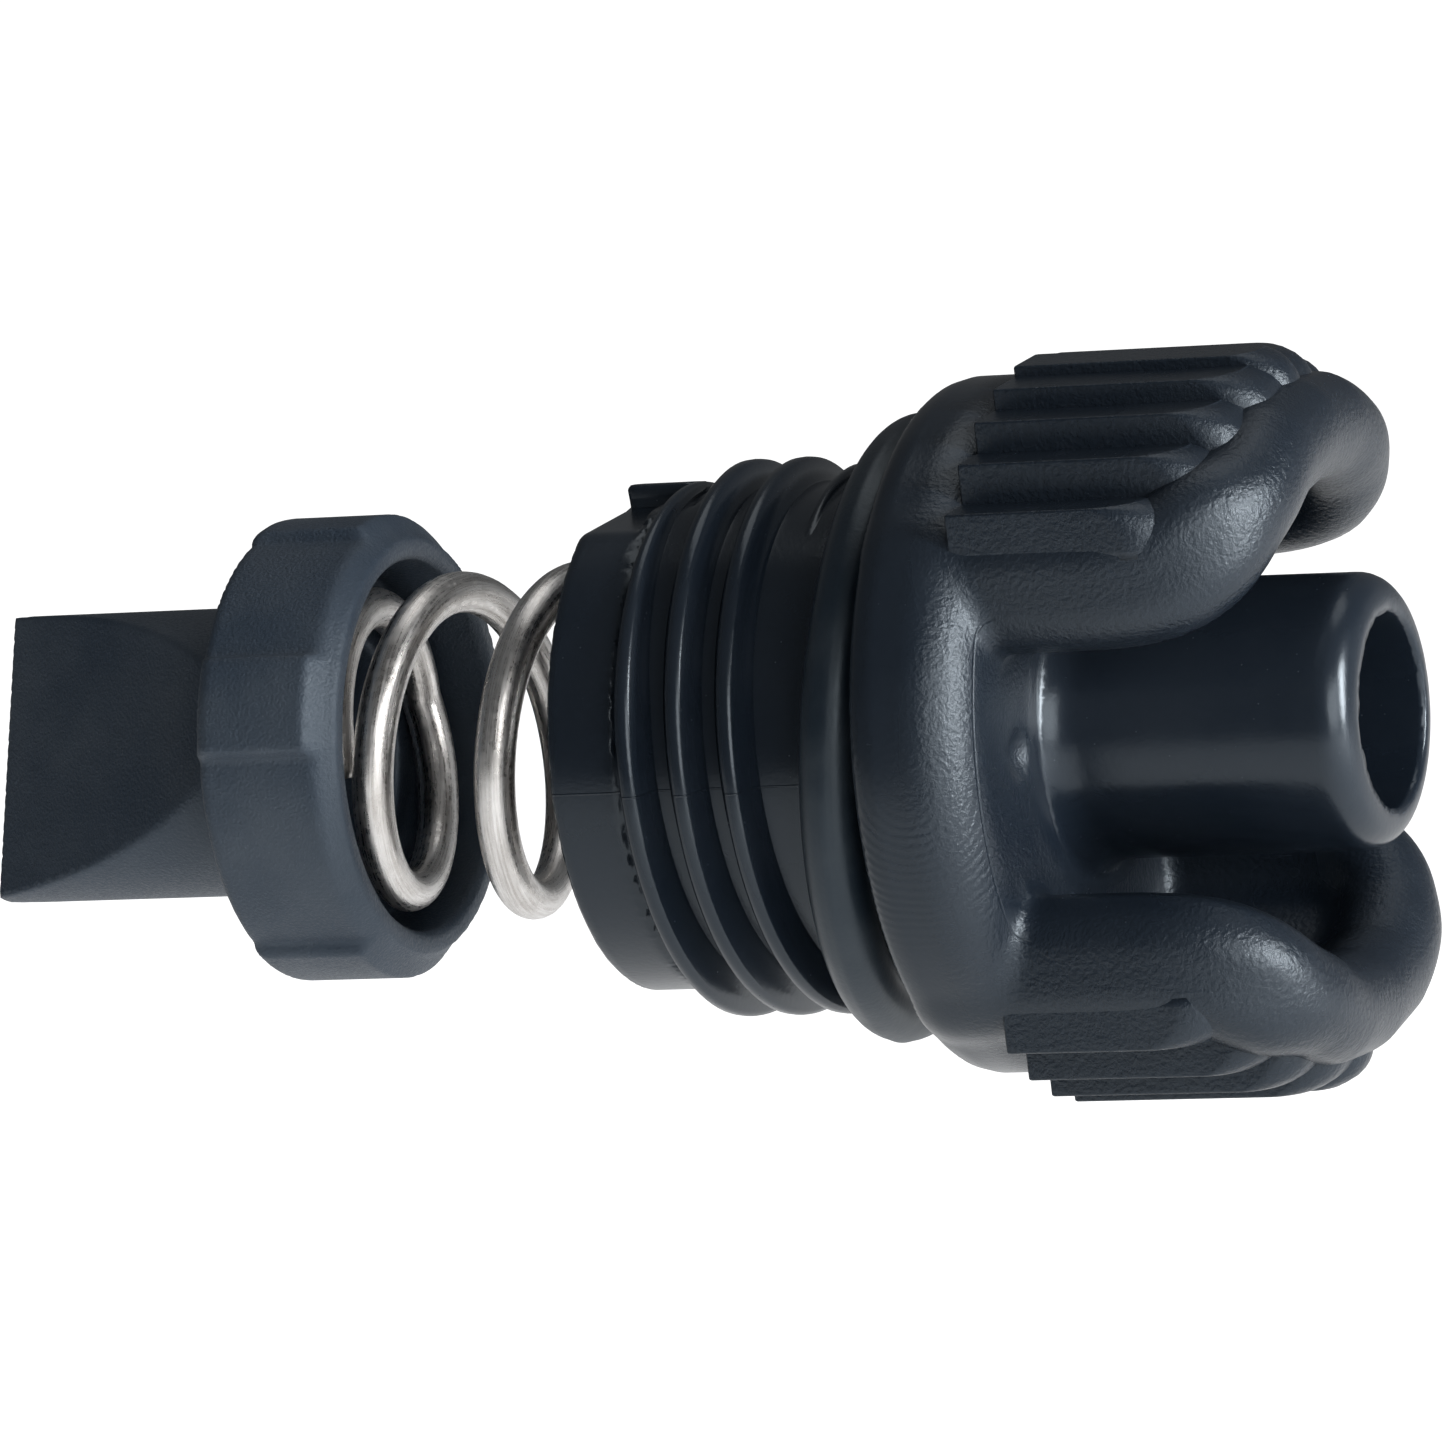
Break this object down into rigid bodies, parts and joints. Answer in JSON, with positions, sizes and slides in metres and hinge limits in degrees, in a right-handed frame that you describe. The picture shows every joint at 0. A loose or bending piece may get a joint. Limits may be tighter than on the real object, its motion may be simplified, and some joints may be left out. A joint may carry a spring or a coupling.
{
  "type": "toilet fill valve cap with duckbill check valve",
  "caption": "Screw-in water inlet cap with a hollow nozzle and ribbed finger grips, O-ring, compression spring and rubber duckbill check valve.",
  "frame": {"origin": "on the valve's axis, in the plane of the flange's back face, where the cap stops against its port", "axes": "+X along the valve's axis towards the open end of the nozzle, +Z towards the middle of the upper finger grip"},
  "size_m": [0.07, 0.0322, 0.0344],
  "materials": {
    "black_plastic": "moulded gloss with fine grain on the beads",
    "ring_rubber": "smooth moulded rubber, slightly dusty",
    "spring_steel": "drawn stainless wire",
    "slate_rubber": "matte, spark-textured mould finish"
  },
  "bodies": {
    "cap": {"screw_cap": "black_plastic", "o_ring": "ring_rubber"},
    "spring": {"spring": "spring_steel"},
    "duckbill": {"duckbill": "slate_rubber"}
  },
  "joints": [
    {"name": "spring_turn", "type": "hinge", "parent": "cap", "child": "spring", "pos_m": [0, 0, 0], "axis": [1, 0, 0], "continuous": true},
    {"name": "duckbill_slide", "type": "slide", "parent": "spring", "child": "duckbill", "axis": [1, 0, 0], "range_m": [0, 0.011], "stiffness_N_per_m": 12000, "deforming": ["spring"]}
  ]
}
